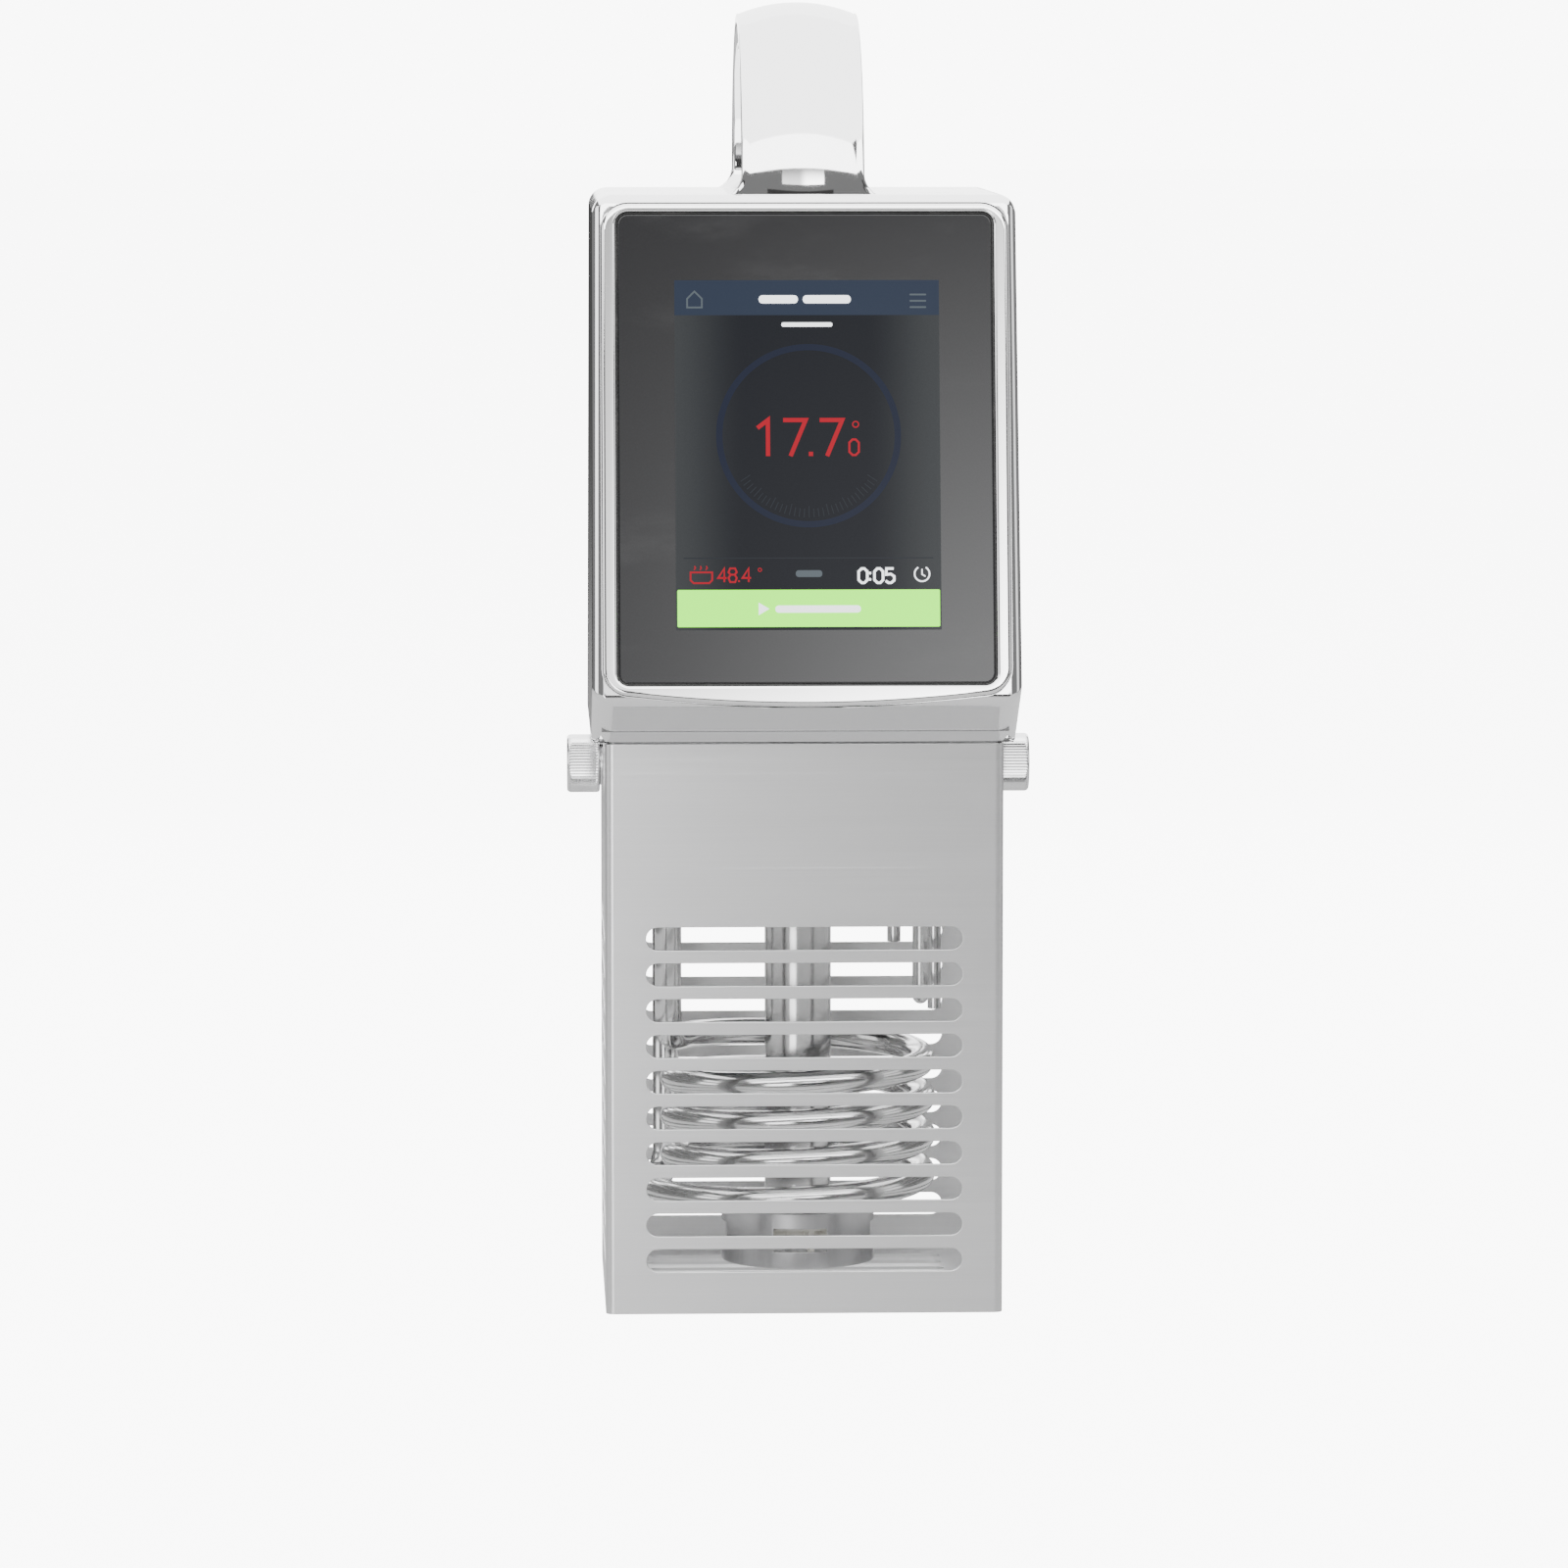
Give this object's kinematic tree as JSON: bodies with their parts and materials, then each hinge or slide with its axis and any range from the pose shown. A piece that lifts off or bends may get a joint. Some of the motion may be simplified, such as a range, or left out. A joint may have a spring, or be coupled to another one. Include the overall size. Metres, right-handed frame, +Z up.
{
  "type": "sous vide circulator",
  "caption": "Immersion circulator: polished head with arched handle and leaning touch screen over a slotted box guard with heater coil and impeller, side thumb screws and rear wall clamp.",
  "frame": {"origin": "centre of the guard base on the surface it stands on", "axes": "+Z up, screen faces -Y, +X to the right seen from the front"},
  "size_m": [0.1384, 0.1904, 0.385],
  "materials": {
    "cast_body": "polished stainless casting",
    "bezel": "mirror polished",
    "glass": "black backed touch glass",
    "seal": "matt",
    "display": "lit panel",
    "brushed_sheet": "fine horizontal grain",
    "plain_steel": "mill finish",
    "knurled_steel": "turned and knurled",
    "heater": "drawn tube",
    "brass_nut": "turned",
    "copper_core": "varnished windings and laminations",
    "dark_cover": "fine texture",
    "black_plastic": "fine texture",
    "white_plastic": "moulded",
    "board": "solder mask",
    "aluminium": "extruded",
    "motor_paint": "satin",
    "blue_sleeve": "shrink sleeve",
    "rocker_red": "moulded"
  },
  "bodies": {
    "unit": {"head_shell": "cast_body", "handle": "cast_body", "handle_screws": "knurled_steel", "front_bezel": "bezel", "glass_gasket": "seal", "touch_glass": "glass", "display_panel": "display", "display_bracket": "plain_steel", "display_screws": "plain_steel", "control_board": "board", "rear_cover": "dark_cover", "rear_gasket": "seal", "rear_cover_screws": "knurled_steel", "base_plate": "plain_steel", "base_gasket": "seal", "base_screws": "knurled_steel", "guard_collar": "plain_steel", "motor_bracket": "plain_steel", "motor_can": "motor_paint", "motor_stator": "copper_core", "bearing_upper": "plain_steel", "bearing_lower": "plain_steel", "shaft_seal": "seal", "shaft_tube": "plain_steel", "shaft_bush": "white_plastic", "pump_housing": "plain_steel", "heater_coil": "heater", "heater_nuts": "brass_nut", "temperature_probe": "plain_steel", "level_probes": "plain_steel", "probe_nuts": "brass_nut", "power_board": "board", "board_spacers": "brass_nut", "heat_sink": "aluminium", "relay": "black_plastic", "capacitor": "blue_sleeve", "terminal_block": "board", "fan_frame": "black_plastic", "switch_body": "black_plastic", "cable_gland": "black_plastic", "gland_nut": "black_plastic", "clamp_bracket": "plain_steel", "bracket_screws": "knurled_steel"},
    "guard": {"guard_shell": "brushed_sheet", "guard_base": "brushed_sheet"},
    "washer_left": {"thumb_washer_left": "plain_steel"},
    "washer_right": {"thumb_washer_right": "plain_steel"},
    "thumb_left": {"thumb_screw_left": "knurled_steel"},
    "thumb_right": {"thumb_screw_right": "knurled_steel"},
    "pump_shaft": {"drive_shaft": "plain_steel", "motor_rotor": "plain_steel", "impeller": "white_plastic"},
    "fan": {"fan_rotor": "black_plastic"},
    "power_rocker": {"rocker": "rocker_red"},
    "clamp_shoe": {"clamp_pad": "plain_steel", "pad_facing": "seal"},
    "clamp_screw": {"clamp_spindle": "plain_steel", "clamp_knob": "black_plastic"}
  },
  "joints": [
    {"name": "guard_slide", "type": "slide", "parent": "unit", "child": "guard", "axis": [0, 0, -1], "range_m": [0, 0.17]},
    {"name": "washer_slide_left", "type": "slide", "parent": "unit", "child": "washer_left", "axis": [-1, 0, 0], "range_m": [0, 0.003]},
    {"name": "thumb_turn_left", "type": "hinge", "parent": "washer_left", "child": "thumb_left", "pos_m": [-0.0585, 0, 0.158], "axis": [-1, 0, 0], "range_deg": [0, 1080]},
    {"name": "washer_slide_right", "type": "slide", "parent": "unit", "child": "washer_right", "axis": [1, 0, 0], "range_m": [0, 0.003]},
    {"name": "thumb_turn_right", "type": "hinge", "parent": "washer_right", "child": "thumb_right", "pos_m": [0.0585, 0, 0.158], "axis": [1, 0, 0], "range_deg": [0, 1080]},
    {"name": "shoe_slide", "type": "slide", "parent": "unit", "child": "clamp_shoe", "axis": [0, 1, 0], "range_m": [-0.0085, 0.0035]},
    {"name": "clamp_turn", "type": "hinge", "parent": "clamp_shoe", "child": "clamp_screw", "pos_m": [0, 0.09, 0.139], "axis": [0, 1, 0], "range_deg": [-1020, 420]},
    {"name": "pump_spin", "type": "hinge", "parent": "unit", "child": "pump_shaft", "pos_m": [0, 0, 0.1], "axis": [0, 0, 1], "continuous": true},
    {"name": "fan_spin", "type": "hinge", "parent": "unit", "child": "fan", "pos_m": [0, 0.062, 0.287], "axis": [0, 1, 0], "continuous": true},
    {"name": "rocker_tilt", "type": "hinge", "parent": "unit", "child": "power_rocker", "pos_m": [-0.026, 0.0685, 0.203], "axis": [1, 0, 0], "range_deg": [0, 16]}
  ],
  "couplings": [
    {"joint": "thumb_turn_left", "follows": "washer_slide_left", "rad_per_m": 6283.2},
    {"joint": "thumb_turn_right", "follows": "washer_slide_right", "rad_per_m": 6283.2},
    {"joint": "clamp_turn", "follows": "shoe_slide", "rad_per_m": 2094.4}
  ]
}
